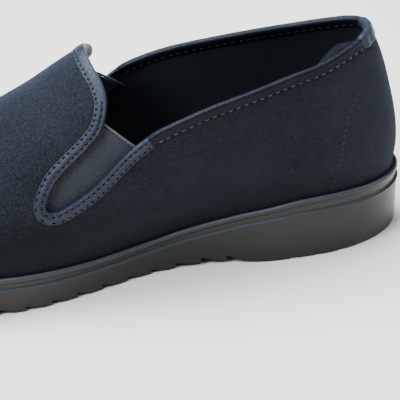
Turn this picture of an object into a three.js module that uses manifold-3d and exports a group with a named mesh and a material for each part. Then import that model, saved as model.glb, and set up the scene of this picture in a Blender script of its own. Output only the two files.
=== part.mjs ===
// Chinese cloth shoe, right foot, in millimetres.
// The toe points along +X, the inner side of the foot is +Y, +Z is up and the floor is z = 0.
// The origin is on the floor under the middle of the heel seat.

import * as THREE from 'three';
import { mergeVertices } from 'three/addons/utils/BufferGeometryUtils.js';
import Module from 'manifold-3d';

// Overall sizes of the last: the length runs from the back of the cloth to the front of the sole
const length = 275;
const ballWidth = 90;
const heelWidth = 65;
const instepHeight = 88.5;
const backHeight = 75;
const heelCentre = 56;
const toeRadius = 70;

// Cloth parts
const wall = 1.6;
const bindingThick = 0.5;
const bindingWidth = 4.6;
const tapeThick = 0.9;
const tapeWidth = 4.6;
const elasticThick = 1.3;
const underlap = 6;
const lateralRise = 2.8;
const lateralCurl = 2.8;
const insoleThick = 3.2;
const insoleBevel = 0.8;

// Moulded sole
const heelSole = 31.3;
const foreSole = 17;
const bedDepth = 1.8;
const beadWidth = 2.3;
const beadHeight = 3.2;
const bandInset = 0.9;
const ledge = 0.9;
const wallFlare = 0.3;
const edgeBevel = 0.6;
const archLift = 2.3;
const toeSpring = 10;
const toeSpringCurve = 1.7;
const lugPitch = 12.3;
const lugGroove = 3.6;
const lugDepth = 2;
const heelGrooveDepth = 1.2;

// Room kept between pieces that touch, and a little more where the upper sits in the sole
const gap = 0.3;
const seatGap = 0.4;

const toeCentre = length - toeRadius;
const wasm = await Module();
wasm.setup();

// A smooth curve through the rows of a table: the value of one column at a place
function smooth(rows, key, column, at) {
  const last = rows.length - 1;
  if (at <= rows[0][key]) return rows[0][column];
  if (at >= rows[last][key]) return rows[last][column];
  let i = 0;
  while (rows[i + 1][key] < at) i += 1;
  const slope = (k) => (rows[k + 1][column] - rows[k][column]) / (rows[k + 1][key] - rows[k][key]);
  const tangent = (k) => {
    if (k === 0) return slope(0);
    if (k === last) return slope(last - 1);
    const before = rows[k][key] - rows[k - 1][key];
    const after = rows[k + 1][key] - rows[k][key];
    return (slope(k - 1) * after + slope(k) * before) / (before + after);
  };
  const span = rows[i + 1][key] - rows[i][key];
  const t = (at - rows[i][key]) / span;
  const rise = rows[i + 1][column] - rows[i][column];
  const a = tangent(i) * span - rise;
  const b = rise - tangent(i + 1) * span;
  return rows[i][column] + t * rise + t * (1 - t) * (a * (1 - t) + b * t);
}

// Height of the sole's rim along the shoe, and how far below it the step line runs
const rimRows = [
  { x: 0, rim: heelSole, step: 0.22 * heelSole },
  { x: 0.23 * length, rim: heelSole, step: 0.22 * heelSole },
  { x: 0.3 * length, rim: 0.89 * heelSole, step: 0.2 * heelSole },
  { x: 0.38 * length, rim: 0.74 * heelSole, step: 0.2 * heelSole },
  { x: 0.46 * length, rim: 1.1 * foreSole, step: 0.31 * foreSole },
  { x: 0.56 * length, rim: foreSole, step: 0.29 * foreSole },
  { x: 0.68 * length, rim: 1.08 * foreSole, step: 0.34 * foreSole },
  { x: 0.8 * length, rim: 1.2 * foreSole, step: 0.35 * foreSole },
  { x: 0.9 * length, rim: foreSole + 0.62 * toeSpring, step: 0.35 * foreSole },
  { x: length, rim: foreSole + 1.05 * toeSpring, step: 0.35 * foreSole },
];
const rimAt = (x) => smooth(rimRows, 'x', 'rim', x);
const stepAt = (x) => rimAt(x) - smooth(rimRows, 'x', 'step', x);

// Underside: flat under heel and ball, lifted at the arch, the toe and the back edge
const heelFlatFrom = 0.045 * length;
const heelFlatTo = 0.27 * length;
const ballFlatFrom = 0.46 * length;
const ballFlatTo = 0.7 * length;
function liftAt(x) {
  if (x < heelFlatFrom) return edgeBevel * ((heelFlatFrom - x) / heelFlatFrom) ** 2;
  if (x < heelFlatTo) return 0;
  if (x < ballFlatFrom) {
    return archLift * Math.sin((Math.PI * (x - heelFlatTo)) / (ballFlatFrom - heelFlatTo)) ** 2;
  }
  if (x < ballFlatTo) return 0;
  return toeSpring * ((x - ballFlatTo) / (length - ballFlatTo)) ** toeSpringCurve;
}

// The last, level by level: how far each side reaches from the middle, and its height
const above = (x, rise) => rimAt(x) + rise * instepHeight;
const section = (share, rise, inner, outer) => {
  const x = share * length;
  return { x, z: above(x, rise), inner, outer };
};
const levels = {
  foot: [
    section(0.204, 0, 0.49 * heelWidth, 0.5 * heelWidth),
    section(0.265, 0, 0.478 * heelWidth, 0.508 * heelWidth),
    section(0.327, 0, 0.43 * heelWidth, 0.525 * heelWidth),
    section(0.385, 0, 0.283 * ballWidth, 0.39 * ballWidth),
    section(0.436, 0, 0.273 * ballWidth, 0.418 * ballWidth),
    section(0.49, 0, 0.295 * ballWidth, 0.452 * ballWidth),
    section(0.545, 0, 0.34 * ballWidth, 0.49 * ballWidth),
    section(0.604, 0, 0.39 * ballWidth, 0.528 * ballWidth),
    section(0.655, 0, 0.427 * ballWidth, 0.55 * ballWidth),
    section(0.7, 0, 0.444 * ballWidth, 0.558 * ballWidth),
    section(0.745, 0, 0.446 * ballWidth, 0.56 * ballWidth),
  ],
  belly: [
    section(0.204, 0.19, 0.523 * heelWidth, 0.53 * heelWidth),
    section(0.327, 0.23, 0.5 * heelWidth, 0.57 * heelWidth),
    section(0.436, 0.25, 0.37 * ballWidth, 0.46 * ballWidth),
    section(0.545, 0.24, 0.405 * ballWidth, 0.525 * ballWidth),
    section(0.655, 0.17, 0.45 * ballWidth, 0.567 * ballWidth),
    section(0.745, 0.14, 0.465 * ballWidth, 0.572 * ballWidth),
  ],
  flank: [
    section(0.204, 0.46, 0.485 * heelWidth, 0.485 * heelWidth),
    section(0.327, 0.5, 0.51 * heelWidth, 0.54 * heelWidth),
    section(0.436, 0.49, 0.4 * ballWidth, 0.43 * ballWidth),
    section(0.545, 0.51, 0.417 * ballWidth, 0.455 * ballWidth),
    section(0.655, 0.42, 0.405 * ballWidth, 0.475 * ballWidth),
    section(0.745, 0.34, 0.4 * ballWidth, 0.478 * ballWidth),
  ],
  shoulder: [
    section(0.204, 0.73, 0.4 * heelWidth, 0.38 * heelWidth),
    section(0.327, 0.73, 0.485 * heelWidth, 0.49 * heelWidth),
    section(0.436, 0.75, 0.385 * ballWidth, 0.39 * ballWidth),
    section(0.545, 0.81, 0.317 * ballWidth, 0.34 * ballWidth),
    section(0.655, 0.665, 0.268 * ballWidth, 0.32 * ballWidth),
    section(0.745, 0.54, 0.25 * ballWidth, 0.305 * ballWidth),
  ],
};
const crown = [
  section(0.204, 1.12, 0, 0),
  section(0.327, 1.15, 0, 0),
  section(0.436, 1.12, 0, 0),
  section(0.545, 1.025, 0, 0),
  section(0.655, 0.832, 0, 0),
  section(0.745, 0.69, 0.02 * ballWidth, 0),
  section(0.84, 0.545, 0.02 * ballWidth, 0),
];

// The two ends: the foremost and the backmost point of each level, and its height there
const ends = {
  heel: {
    turn: -1,
    round: 2,
    foot: { x: 0.01 * backHeight, z: heelSole },
    belly: { x: -0.002 * backHeight, z: heelSole + 0.18 * backHeight },
    flank: { x: 0.06 * backHeight, z: heelSole + 0.55 * backHeight },
    shoulder: { x: 0.21 * backHeight, z: heelSole + 0.95 * backHeight },
  },
  toe: {
    turn: 1,
    round: 2.25,
    foot: { x: length - 0.04 * toeRadius, z: rimAt(length) },
    belly: { x: length - 0.035 * toeRadius, z: above(length, 0.1) },
    flank: { x: length - 0.18 * toeRadius, z: above(length, 0.26) },
    shoulder: { x: length - 0.48 * toeRadius, z: above(length, 0.42) },
  },
};

// Ribs run from the middle line outwards: fanned round the heel, across, then fanned round the toe
const heelSteps = 7;
const midSteps = 16;
const toeSteps = 9;
function halfRibs(side) {
  const fan = (x, end, steps) => Array.from({ length: steps }, (_, i) => {
    return { side, x, end, angle: (i * 90) / steps };
  });
  const across = Array.from({ length: midSteps + 1 }, (_, i) => {
    return { side, x: heelCentre + (i / midSteps) * (toeCentre - heelCentre), angle: 90 };
  });
  const roundHeel = fan(heelCentre, ends.heel, heelSteps);
  const roundToe = fan(toeCentre, ends.toe, toeSteps).reverse();
  return [...roundHeel, ...across, ...roundToe];
}
const ribs = [...halfRibs('inner'), ...halfRibs('outer').reverse().slice(1, -1)];

const spineY = (x) => smooth(crown, 'x', 'inner', x);
const crownZ = (x) => smooth(crown, 'x', 'z', x);
const slopeOf = (value, x) => value(x + 0.5) - value(x - 0.5);

// The point where one level of the last meets a rib
function levelPoint(rib, name) {
  const across = rib.side === 'inner' ? 1 : -1;
  const half = (x) => smooth(levels[name], 'x', rib.side, x) - across * spineY(x);
  const heights = [ends.heel[name], ...levels[name], ends.toe[name]];
  const zAt = (x) => smooth(heights, 'x', 'z', x);
  if (!rib.end) return new THREE.Vector3(rib.x, spineY(rib.x) + across * half(rib.x), zAt(rib.x));
  const angle = THREE.MathUtils.degToRad(rib.angle);
  const forward = Math.cos(angle) ** (2 / rib.end.round) * (rib.end[name].x - rib.x);
  const aside = Math.sin(angle) ** (2 / rib.end.round);
  const inside = rib.x - rib.end.turn;
  const flare = (half(rib.x) - half(inside)) * rib.end.turn;
  const x = rib.x + forward;
  const y = spineY(rib.x) + across * (half(rib.x) * aside + flare * forward * aside ** 2);
  return new THREE.Vector3(x, y, zAt(x));
}

// The last's surface: each rib's curve from the crown down to the foot, level with the sole's bed
const curveSteps = 12;
const footDepth = bedDepth - gap;
function ribCurve(rib) {
  const names = ['foot', 'belly', 'flank', 'shoulder'];
  const [foot, belly, flank, shoulder] = names.map((name) => levelPoint(rib, name));
  foot.z = rimAt(foot.x) - footDepth;
  const top = new THREE.Vector3(rib.x, spineY(rib.x), crownZ(rib.x));
  const before = new THREE.Vector3(belly.x, belly.y, 2 * foot.z - belly.z);
  const after = new THREE.Vector3(2 * top.x - shoulder.x, 2 * top.y - shoulder.y, shoulder.z);
  after.z -= 2 * (shoulder.x - top.x) * slopeOf(crownZ, rib.x);
  const points = [before, foot, belly, flank, shoulder, top, after];
  const rows = points.map(({ x, y, z }) => ({ x, y, z, at: 0 }));
  for (let i = 1; i < rows.length; i += 1) {
    const step = new THREE.Vector3().subVectors(rows[i], rows[i - 1]).length();
    rows[i].at = rows[i - 1].at + step;
  }
  return Array.from({ length: curveSteps + 1 }, (_, i) => {
    const at = THREE.MathUtils.lerp(rows[5].at, rows[1].at, i / curveSteps);
    return new THREE.Vector3(...['x', 'y', 'z'].map((column) => smooth(rows, 'at', column, at)));
  });
}
const skin = ribs.map(ribCurve);
const footOf = (i) => skin[(i + ribs.length) % ribs.length][curveSteps];

// The way straight out from the foot line in plan, and a place measured along it from the middle
const outward = ribs.map((_, i) => {
  const along = footOf(i + 1).clone().sub(footOf(i - 1));
  return new THREE.Vector3(-along.y, along.x, 0).normalize();
});
function placeOut(i, part, past) {
  const middle = new THREE.Vector3(ribs[i].x, spineY(ribs[i].x), 0);
  const edge = footOf(i).clone().setZ(0).addScaledVector(outward[i], past);
  return middle.lerp(edge, part);
}

// Unit normals of that surface, and the surface moved along them
function normalAt(i, j) {
  if (j === 0) {
    return new THREE.Vector3(-slopeOf(crownZ, ribs[i].x), 0, 1).normalize();
  }
  const next = skin[(i + 1) % ribs.length][j];
  const last = skin[(i + ribs.length - 1) % ribs.length][j];
  const under = skin[i][Math.min(j + 1, curveSteps)];
  const over = skin[i][j - 1];
  return next.clone().sub(last).cross(under.clone().sub(over)).normalize();
}
const normals = skin.map((points, i) => points.map((_, j) => normalAt(i, j)));

// Closed surface through rings that each run from the middle out, down and back to the middle
function loft(rings) {
  const columns = rings[0].length;
  const positions = rings.flat().flatMap((p) => [p.x, p.y, p.z]);
  const faces = [];
  for (let i = 0; i < rings.length; i += 1) {
    const next = (i + 1) % rings.length;
    for (let j = 0; j + 1 < columns; j += 1) {
      const here = i * columns + j;
      const beside = next * columns + j;
      faces.push(here, beside, here + 1, beside, beside + 1, here + 1);
    }
  }
  const geometry = new THREE.BufferGeometry();
  geometry.setAttribute('position', new THREE.Float32BufferAttribute(positions, 3));
  geometry.setIndex(faces);
  return geometry;
}

function solid(geometry) {
  geometry.deleteAttribute('normal');
  geometry.deleteAttribute('uv');
  const merged = mergeVertices(geometry, 1e-4);
  const index = Array.from(merged.index.array);
  const triVerts = [];
  for (let i = 0; i < index.length; i += 3) {
    const [a, b, c] = index.slice(i, i + 3);
    if (a !== b && b !== c && c !== a) triVerts.push(a, b, c);
  }
  const vertProperties = Float32Array.from(merged.attributes.position.array);
  const mesh = new wasm.Mesh({ numProp: 3, vertProperties, triVerts: Uint32Array.from(triVerts) });
  return new wasm.Manifold(mesh);
}

function geometryOf(manifold) {
  const mesh = manifold.getMesh();
  const geometry = new THREE.BufferGeometry();
  geometry.setAttribute('position', new THREE.BufferAttribute(Float32Array.from(mesh.vertProperties), 3));
  geometry.setIndex(Array.from(mesh.triVerts));
  geometry.computeVertexNormals();
  return geometry;
}

// The last as a closed solid, grown or shrunk by an offset, with a straight skirt below its foot
function form(offset, skirt) {
  const rings = skin.map((points, i) => {
    const ring = points.map((p, j) => p.clone().addScaledVector(normals[i][j], offset));
    const foot = ring[ring.length - 1];
    const middle = placeOut(i, 0, 0).setZ(rimAt(ribs[i].x) - footDepth);
    if (skirt) {
      ring.push(foot.clone().setZ(foot.z - skirt));
      middle.z -= skirt;
    }
    ring.push(middle);
    return ring;
  });
  return solid(loft(rings));
}

// The edge of the cloth seen from the side: collar, down round the gusset, up to the tongue.
// Rise and curl say how much of the lateral side's lift and lean each place takes.
const edgeRow = (share, z, rise, curl) => ({ x: share * length, z, rise, curl });
const overBack = (share) => heelSole + share * backHeight;
const overInstep = (share) => foreSole + share * instepHeight;
const collarRows = [
  edgeRow(-0.08, overBack(1), 0, 0),
  edgeRow(0.05, overBack(0.97), 0.04, 0),
  edgeRow(0.11, overBack(0.918), 0.18, 0),
  edgeRow(0.17, overBack(0.864), 0.38, 0),
  edgeRow(0.228, overBack(0.825), 0.59, 0),
  edgeRow(0.31, overBack(0.767), 0.86, 0),
  edgeRow(0.383, overBack(0.715), 0.99, 0),
  edgeRow(0.44, overInstep(0.717), 1, 0),
  edgeRow(0.476, overInstep(0.67), 1, 0),
];
const gussetRows = [
  edgeRow(0.51, overInstep(0.602), 0.65, 0),
  edgeRow(0.532, overInstep(0.545), 0.28, 0),
  edgeRow(0.562, overInstep(0.461), 0, 0),
  edgeRow(0.592, overInstep(0.396), 0, 0),
  edgeRow(0.619, overInstep(0.352), 0, 0),
  edgeRow(0.639, overInstep(0.335), 0, 0),
  edgeRow(0.6525, overInstep(0.35), 0, 0),
  edgeRow(0.6525, overInstep(0.4), 0, 0),
  edgeRow(0.634, overInstep(0.497), 0, 0),
  edgeRow(0.607, overInstep(0.574), 0, 0),
  edgeRow(0.572, overInstep(0.665), 0, 0),
  edgeRow(0.5535, overInstep(0.727), 0, 0),
  edgeRow(0.543, overInstep(0.79), 0, 0),
];
const tongueRows = [
  edgeRow(0.5375, overInstep(0.855), 0, 0.7),
  edgeRow(0.54, overInstep(0.92), 0, 1),
  edgeRow(0.548, overInstep(0.97), 0, 0.45),
  edgeRow(0.556, overInstep(1.04), 0, 0),
  edgeRow(0.56, overInstep(1.2), 0, 0),
];

const stepsPerRow = 2;
const collarEnd = (collarRows.length - 1) * stepsPerRow;
const tongueStart = (collarRows.length + gussetRows.length) * stepsPerRow;
function edgeOf(side) {
  const lateral = side === 'outer' ? 1 : 0;
  const places = [...collarRows, ...gussetRows, ...tongueRows].map((row) => {
    const x = row.x - lateral * lateralCurl * row.curl;
    return new THREE.Vector2(x, row.z + lateral * lateralRise * row.rise);
  });
  return new THREE.SplineCurve(places).getPoints((places.length - 1) * stepsPerRow);
}
const edges = { inner: edgeOf('inner'), outer: edgeOf('outer') };

// A side-view line moved to its right, which is the cloth's side of the edge
function moved(points, distance) {
  return points.map((p, i) => {
    const before = points[Math.max(i - 1, 0)];
    const after = points[Math.min(i + 1, points.length - 1)];
    const along = after.clone().sub(before).normalize();
    return new THREE.Vector2(p.x + along.y * distance, p.y - along.x * distance);
  });
}

// A side-view outline pushed straight through one half of the shoe
const halfSpan = ballWidth;
function sideCut(outline, side) {
  const shape = new THREE.Shape(outline);
  const geometry = new THREE.ExtrudeGeometry(shape, { depth: halfSpan, bevelEnabled: false });
  geometry.rotateX(Math.PI / 2);
  if (side === 'inner') geometry.translate(0, halfSpan, 0);
  return solid(geometry);
}
function bothSides(outlineOf) {
  return sideCut(outlineOf('inner'), 'inner').add(sideCut(outlineOf('outer'), 'outer'));
}

const ceiling = overInstep(1.6);
const openingOutline = (side, distance) => {
  const line = moved(edges[side], distance);
  const first = line[0];
  const last = line[line.length - 1];
  return [...line, new THREE.Vector2(last.x, ceiling), new THREE.Vector2(first.x, ceiling)];
};
const trimmed = (points, start, end) => {
  const shortened = (tip, next, cut) => tip.clone().lerp(next, cut / tip.distanceTo(next));
  const first = shortened(points[0], points[1], start);
  const last = shortened(points[points.length - 1], points[points.length - 2], end);
  return [first, ...points.slice(1, -1), last];
};
const stripOutline = (side, range, from, to, trim) => {
  const line = (distance) => trimmed(moved(edges[side], distance).slice(...range), trim, trim);
  return [...line(from), ...line(to).reverse()];
};

function makeUpper() {
  const shell = form(0, 0).subtract(form(-wall, 2 * footDepth));
  return shell.subtract(bothSides((side) => openingOutline(side, 0)));
}

// Edge strips fold over the cut edge of the cloth: a leaf outside and, where wanted, one inside
function edgeStrip(outline, clear, outside, inside) {
  const strip = form(outside, 0).subtract(form(-inside, 2 * footDepth)).intersect(outline);
  const insideFace = inside > wall ? form(gap, 0).subtract(form(-wall - gap, 2 * footDepth)) : form(gap, 0);
  return strip.subtract(insideFace.subtract(clear));
}
const proud = gap + bindingThick;
const clearOfCloth = bothSides((side) => openingOutline(side, -gap));

function makeCollarBinding() {
  const range = [0, collarEnd + 1];
  const outline = bothSides((side) => stripOutline(side, range, -proud, bindingWidth, 0));
  return edgeStrip(outline, clearOfCloth, proud, wall + proud);
}

function makeTongueBinding() {
  const outline = bothSides((side) => stripOutline(side, [tongueStart], -proud, bindingWidth, 0));
  return edgeStrip(outline, clearOfCloth, proud, wall + proud);
}

function makeTape(side) {
  const range = [collarEnd, tongueStart + 1];
  const outline = sideCut(stripOutline(side, range, -proud, tapeWidth, gap / 2), side);
  return edgeStrip(outline, clearOfCloth, gap + tapeThick, wall);
}

// The elastic lies inside the cloth and fills the gusset up to its straight top edge
const elasticTop = [
  new THREE.Vector2(0.481 * length, overInstep(0.585)),
  new THREE.Vector2(0.561 * length, overInstep(0.812)),
];
function makeElastic(side) {
  const run = moved(edges[side].slice(collarEnd, tongueStart + 1), underlap);
  const rise = side === 'outer' ? lateralRise : 0;
  const [rear, front] = elasticTop.map((p) => new THREE.Vector2(p.x, p.y + rise));
  const slope = (front.y - rear.y) / (front.x - rear.x);
  const below = run.filter((p) => p.y < rear.y + slope * (p.x - rear.x));
  const inset = wall + gap;
  const layer = form(-inset, 0).subtract(form(-inset - elasticThick, 2 * footDepth));
  return layer.intersect(sideCut([rear, ...below, front], side));
}

// The sole: bed, bead round the upper, flat band, step, plain wall and underside
const parts = [0, 1 / 3, 2 / 3];
const beadTurns = [150, 90, 30, -30];
function soleRing(_, i) {
  const wide = seatGap + beadWidth;
  const wallOut = wide - bandInset + ledge;
  const bottomOut = wallOut - wallFlare - edgeBevel;
  const bed = (part) => {
    const p = placeOut(i, part, seatGap);
    return p.setZ(rimAt(p.x) - bedDepth);
  };
  const under = (part, past, rise) => {
    const p = placeOut(i, part, past);
    return p.setZ(liftAt(p.x) + rise);
  };
  const edge = footOf(i).x;
  const rim = rimAt(edge);
  const bead = beadTurns.map((turn) => {
    const angle = THREE.MathUtils.degToRad(turn);
    const out = seatGap + (beadWidth / 2) * (1 + Math.cos(angle));
    return placeOut(i, 1, out).setZ(rim - (beadHeight / 2) * (1 - Math.sin(angle)));
  });
  return [
    ...parts.map(bed),
    bed(1),
    ...bead,
    placeOut(i, 1, wide - bandInset).setZ(rim - beadHeight),
    placeOut(i, 1, wide - bandInset).setZ(stepAt(edge)),
    placeOut(i, 1, wallOut).setZ(stepAt(edge) - ledge / 2),
    under(1, bottomOut + edgeBevel, edgeBevel),
    under(1, bottomOut, 0),
    ...[...parts].reverse().map((part) => under(part, bottomOut, 0)),
  ];
}

function groove(x, depth) {
  const low = liftAt(x);
  const shape = new THREE.Shape([
    new THREE.Vector2(x - lugGroove / 2, low - lugDepth),
    new THREE.Vector2(x + lugGroove / 2, low - lugDepth),
    new THREE.Vector2(x + lugGroove / 2, low),
    new THREE.Vector2(x + lugGroove / 6, low + depth),
    new THREE.Vector2(x - lugGroove / 6, low + depth),
    new THREE.Vector2(x - lugGroove / 2, low),
  ]);
  const geometry = new THREE.ExtrudeGeometry(shape, { depth: 2 * halfSpan, bevelEnabled: false });
  geometry.rotateX(Math.PI / 2);
  geometry.translate(0, halfSpan, 0);
  return solid(geometry);
}

function makeOutsole() {
  let sole = solid(loft(ribs.map(soleRing)));
  const firstLug = heelFlatTo + 1.5 * lugPitch;
  for (let x = firstLug; x < length - 1.2 * lugPitch; x += lugPitch) {
    sole = sole.subtract(groove(x, lugDepth));
  }
  for (let x = heelCentre - 1.5 * lugPitch; x < heelFlatTo; x += lugPitch) {
    sole = sole.subtract(groove(x, heelGrooveDepth));
  }
  return sole;
}

function makeInsole() {
  const edge = -wall - 2 * gap;
  const rings = ribs.map((_, i) => {
    const at = (part, rise, past) => {
      const p = placeOut(i, part, past);
      return p.setZ(rimAt(p.x) - bedDepth + gap + rise);
    };
    return [
      ...parts.map((part) => at(part, insoleThick, edge)),
      at(1, insoleThick, edge - insoleBevel),
      at(1, insoleThick - insoleBevel, edge),
      at(1, 0, edge),
      ...[...parts].reverse().map((part) => at(part, 0, edge)),
    ];
  });
  return solid(loft(rings));
}

const cloth = new THREE.MeshStandardMaterial({ color: 0x1d2029, roughness: 0.95, metalness: 0 });
const satin = new THREE.MeshStandardMaterial({ color: 0x2a2f3b, roughness: 0.6, metalness: 0 });
const elastic = new THREE.MeshStandardMaterial({ color: 0x34363c, roughness: 0.9, metalness: 0 });
const rubber = new THREE.MeshStandardMaterial({ color: 0x24231f, roughness: 0.5, metalness: 0 });
const lining = new THREE.MeshStandardMaterial({ color: 0x121317, roughness: 0.9, metalness: 0 });

const shoe = new THREE.Group();
function addPiece(name, manifold, material) {
  const mesh = new THREE.Mesh(geometryOf(manifold), material);
  mesh.name = name;
  mesh.position.x = -heelCentre;
  shoe.add(mesh);
}
addPiece('outsole', makeOutsole(), rubber);
addPiece('insole', makeInsole(), lining);
addPiece('upper', makeUpper(), cloth);
addPiece('collar_binding', makeCollarBinding(), satin);
addPiece('tongue_binding', makeTongueBinding(), satin);
addPiece('gusset_tape_inner', makeTape('inner'), satin);
addPiece('gusset_tape_outer', makeTape('outer'), satin);
addPiece('gusset_elastic_inner', makeElastic('inner'), elastic);
addPiece('gusset_elastic_outer', makeElastic('outer'), elastic);

export default shoe;
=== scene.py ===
# Chinese cloth shoe, right foot. Lengths are in millimetres, x runs from the back of the heel to the toe,
# y to the inner side of the foot and z up from the floor.
import math

import bmesh
import bpy
import numpy as np
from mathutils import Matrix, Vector
from mathutils.bvhtree import BVHTree
from mathutils.interpolate import poly_3d_calc


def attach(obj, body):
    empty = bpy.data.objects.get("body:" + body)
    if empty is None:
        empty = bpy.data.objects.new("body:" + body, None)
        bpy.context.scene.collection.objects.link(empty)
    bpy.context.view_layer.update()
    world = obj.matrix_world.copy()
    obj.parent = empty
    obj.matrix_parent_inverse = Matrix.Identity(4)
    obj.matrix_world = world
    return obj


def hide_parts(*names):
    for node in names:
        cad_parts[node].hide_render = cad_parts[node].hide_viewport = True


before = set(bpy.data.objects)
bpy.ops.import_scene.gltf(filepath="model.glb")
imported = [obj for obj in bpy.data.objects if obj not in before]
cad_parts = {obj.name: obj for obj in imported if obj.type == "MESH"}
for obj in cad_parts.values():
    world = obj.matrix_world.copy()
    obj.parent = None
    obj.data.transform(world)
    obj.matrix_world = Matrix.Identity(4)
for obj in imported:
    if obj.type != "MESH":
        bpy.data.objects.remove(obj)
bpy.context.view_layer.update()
print("frame loaded:", len(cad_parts), "solids")

mm = 0.001
heelCentre = 56
sides = {1: "inner", -1: "outer"}


def toScene(points):
    return (np.asarray(points, float) - (heelCentre, 0, 0)) * mm


def fromScene(points):
    return np.array(points) / mm + (heelCentre, 0, 0)


# Tables and curves

def smoothCurve(places, values):
    # a smooth curve through a table, level past its two ends
    places, values = np.array(places, float), np.array(values, float)
    spans = np.diff(places)
    slopes = np.diff(values) / spans
    middle = (slopes[:-1] * spans[1:] + slopes[1:] * spans[:-1]) / (spans[:-1] + spans[1:])
    tangents = np.concatenate([slopes[:1], middle, slopes[-1:]])

    def at(place):
        place = np.clip(place, places[0], places[-1])
        i = np.clip(np.searchsorted(places, place, side="right") - 1, 0, len(spans) - 1)
        t = (place - places[i]) / spans[i]
        rise = values[i + 1] - values[i]
        a = tangents[i] * spans[i] - rise
        b = rise - tangents[i + 1] * spans[i]
        return values[i] + t * rise + t * (1 - t) * (a * (1 - t) + b * t)

    return at


def smoothStep(x, low, high):
    t = np.clip((np.asarray(x, float) - low) / (high - low), 0, 1)
    return t * t * (3 - 2 * t)


def unit(vectors):
    return vectors / np.maximum(np.linalg.norm(vectors, axis=-1, keepdims=True), 1e-12)


def lengthsAlong(row):
    return np.concatenate([[0], np.cumsum(np.linalg.norm(np.diff(row, axis=0), axis=1))])


def placesAlong(row, at):
    # places on a row of points, at given lengths from its start
    along = lengthsAlong(row)
    return np.stack([np.interp(at, along, row[:, k]) for k in range(row.shape[1])], axis=-1)


def closedRound(rings):
    # rings that go round the foot, turned into rows that end where they start
    return np.concatenate([rings, rings[:1]]).transpose(1, 0, 2)


# The sole's rim and the last

sole = {
    "rim": [  # x, height of the rim, depth of the step line below it
        (0, 31.3, 6.9), (63.3, 31.3, 6.9), (82.5, 27.9, 6.3), (104.5, 23.2, 6.3), (126.5, 18.7, 5.3),
        (154, 17, 4.9), (187, 18.4, 5.8), (220, 20.4, 6), (247.5, 23.2, 6), (275, 27.5, 6),
    ],
    "heelFlat": (12.4, 74.3), "ballFlat": (126.5, 192.5), "length": 275,
    "archLift": 2.3, "toeSpring": 10, "toeCurve": 1.7, "backLift": 0.6,
    "seatGap": 0.4, "bedDepth": 1.8, "beadWidth": 2.3, "beadHeight": 3.2,
    "bandInset": 0.9, "ledge": 0.9, "wallFlare": 0.3, "edgeBevel": 0.6,
}
rimTable = np.array(sole["rim"])
rimAt = smoothCurve(rimTable[:, 0], rimTable[:, 1])
stepBelow = smoothCurve(rimTable[:, 0], rimTable[:, 2])


def liftAt(x):
    # underside: flat under heel and ball, lifted at the back edge, the arch and the toe
    heelFrom, heelTo = sole["heelFlat"]
    ballFrom, ballTo = sole["ballFlat"]
    x = np.asarray(x, float)
    back = sole["backLift"] * np.clip((heelFrom - x) / heelFrom, 0, None) ** 2
    arch = sole["archLift"] * np.sin(np.pi * np.clip((x - heelTo) / (ballFrom - heelTo), 0, 1)) ** 2
    toe = sole["toeSpring"] * np.clip((x - ballTo) / (sole["length"] - ballTo), 0, None) ** sole["toeCurve"]
    return back + arch + toe


last = {
    "toeCentre": 205, "footDepth": 1.5,
    "heelRibs": 26, "midRibs": 100, "toeRibs": 36, "steps": 84,
    # x, height above the rim, inner reach, outer reach
    "foot": [
        (56.1, 0, 31.8, 32.5), (72.9, 0, 31.1, 33), (89.9, 0, 27.9, 34.1), (105.9, 0, 25.5, 35.1),
        (119.9, 0, 24.6, 37.6), (134.8, 0, 26.5, 40.7), (149.9, 0, 30.6, 44.1), (166.1, 0, 35.1, 47.5),
        (180.1, 0, 38.4, 49.5), (192.5, 0, 40, 50.2), (204.9, 0, 40.1, 50.4),
    ],
    "belly": [
        (56.1, 16.8, 34, 34.5), (89.9, 20.4, 32.5, 37), (119.9, 22.1, 33.3, 41.4),
        (149.9, 21.2, 36.5, 47.2), (180.1, 15, 40.5, 51), (204.9, 12.4, 41.9, 51.5),
    ],
    "flank": [
        (56.1, 40.7, 31.5, 31.5), (89.9, 44.2, 33.1, 35.1), (119.9, 43.4, 36, 38.7),
        (149.9, 45.1, 37.5, 41), (180.1, 37.2, 36.5, 42.8), (204.9, 30.1, 36, 43),
    ],
    "shoulder": [
        (56.1, 64.6, 26, 24.7), (89.9, 64.6, 31.5, 31.8), (119.9, 66.4, 34.6, 35.1),
        (149.9, 71.7, 28.5, 30.6), (180.1, 58.9, 24.1, 28.8), (204.9, 47.8, 22.5, 27.4),
    ],
    # x, height above the rim, how far the middle line leans inwards
    "crown": [
        (56.1, 99.1, 0), (89.9, 101.8, 0), (119.9, 99.1, 0), (149.9, 90.7, 0),
        (180.1, 73.6, 0), (204.9, 61.1, 1.8), (231, 48.2, 1.8),
    ],
    # foremost and backmost point of each level: x and height
    "heelEnd": {
        "foot": (0.8, 31.3), "belly": (-0.15, 44.8), "flank": (4.5, 72.6), "shoulder": (15.8, 102.6),
    },
    "toeEnd": {
        "foot": (272.2, 27.5), "belly": (272.6, 36.4), "flank": (262.4, 50.5), "shoulder": (241.4, 64.7),
    },
    "heelRound": 2, "toeRound": 2.25,
}
levelNames = ["foot", "belly", "flank", "shoulder"]


def levelCurves(name):
    rows = np.array(last[name])
    heelX, heelZ = last["heelEnd"][name]
    toeX, toeZ = last["toeEnd"][name]
    heights = [heelZ, *(rimAt(rows[:, 0]) + rows[:, 1]), toeZ]
    return {
        1: smoothCurve(rows[:, 0], rows[:, 2]),
        -1: smoothCurve(rows[:, 0], rows[:, 3]),
        "height": smoothCurve([heelX, *rows[:, 0], toeX], heights),
    }


reach = {name: levelCurves(name) for name in levelNames}
crownRows = np.array(last["crown"])
crownZ = smoothCurve(crownRows[:, 0], rimAt(crownRows[:, 0]) + crownRows[:, 1])
spineY = smoothCurve(crownRows[:, 0], crownRows[:, 2])


def crownSlope(x):
    return crownZ(x + 0.5) - crownZ(x - 0.5)


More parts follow.
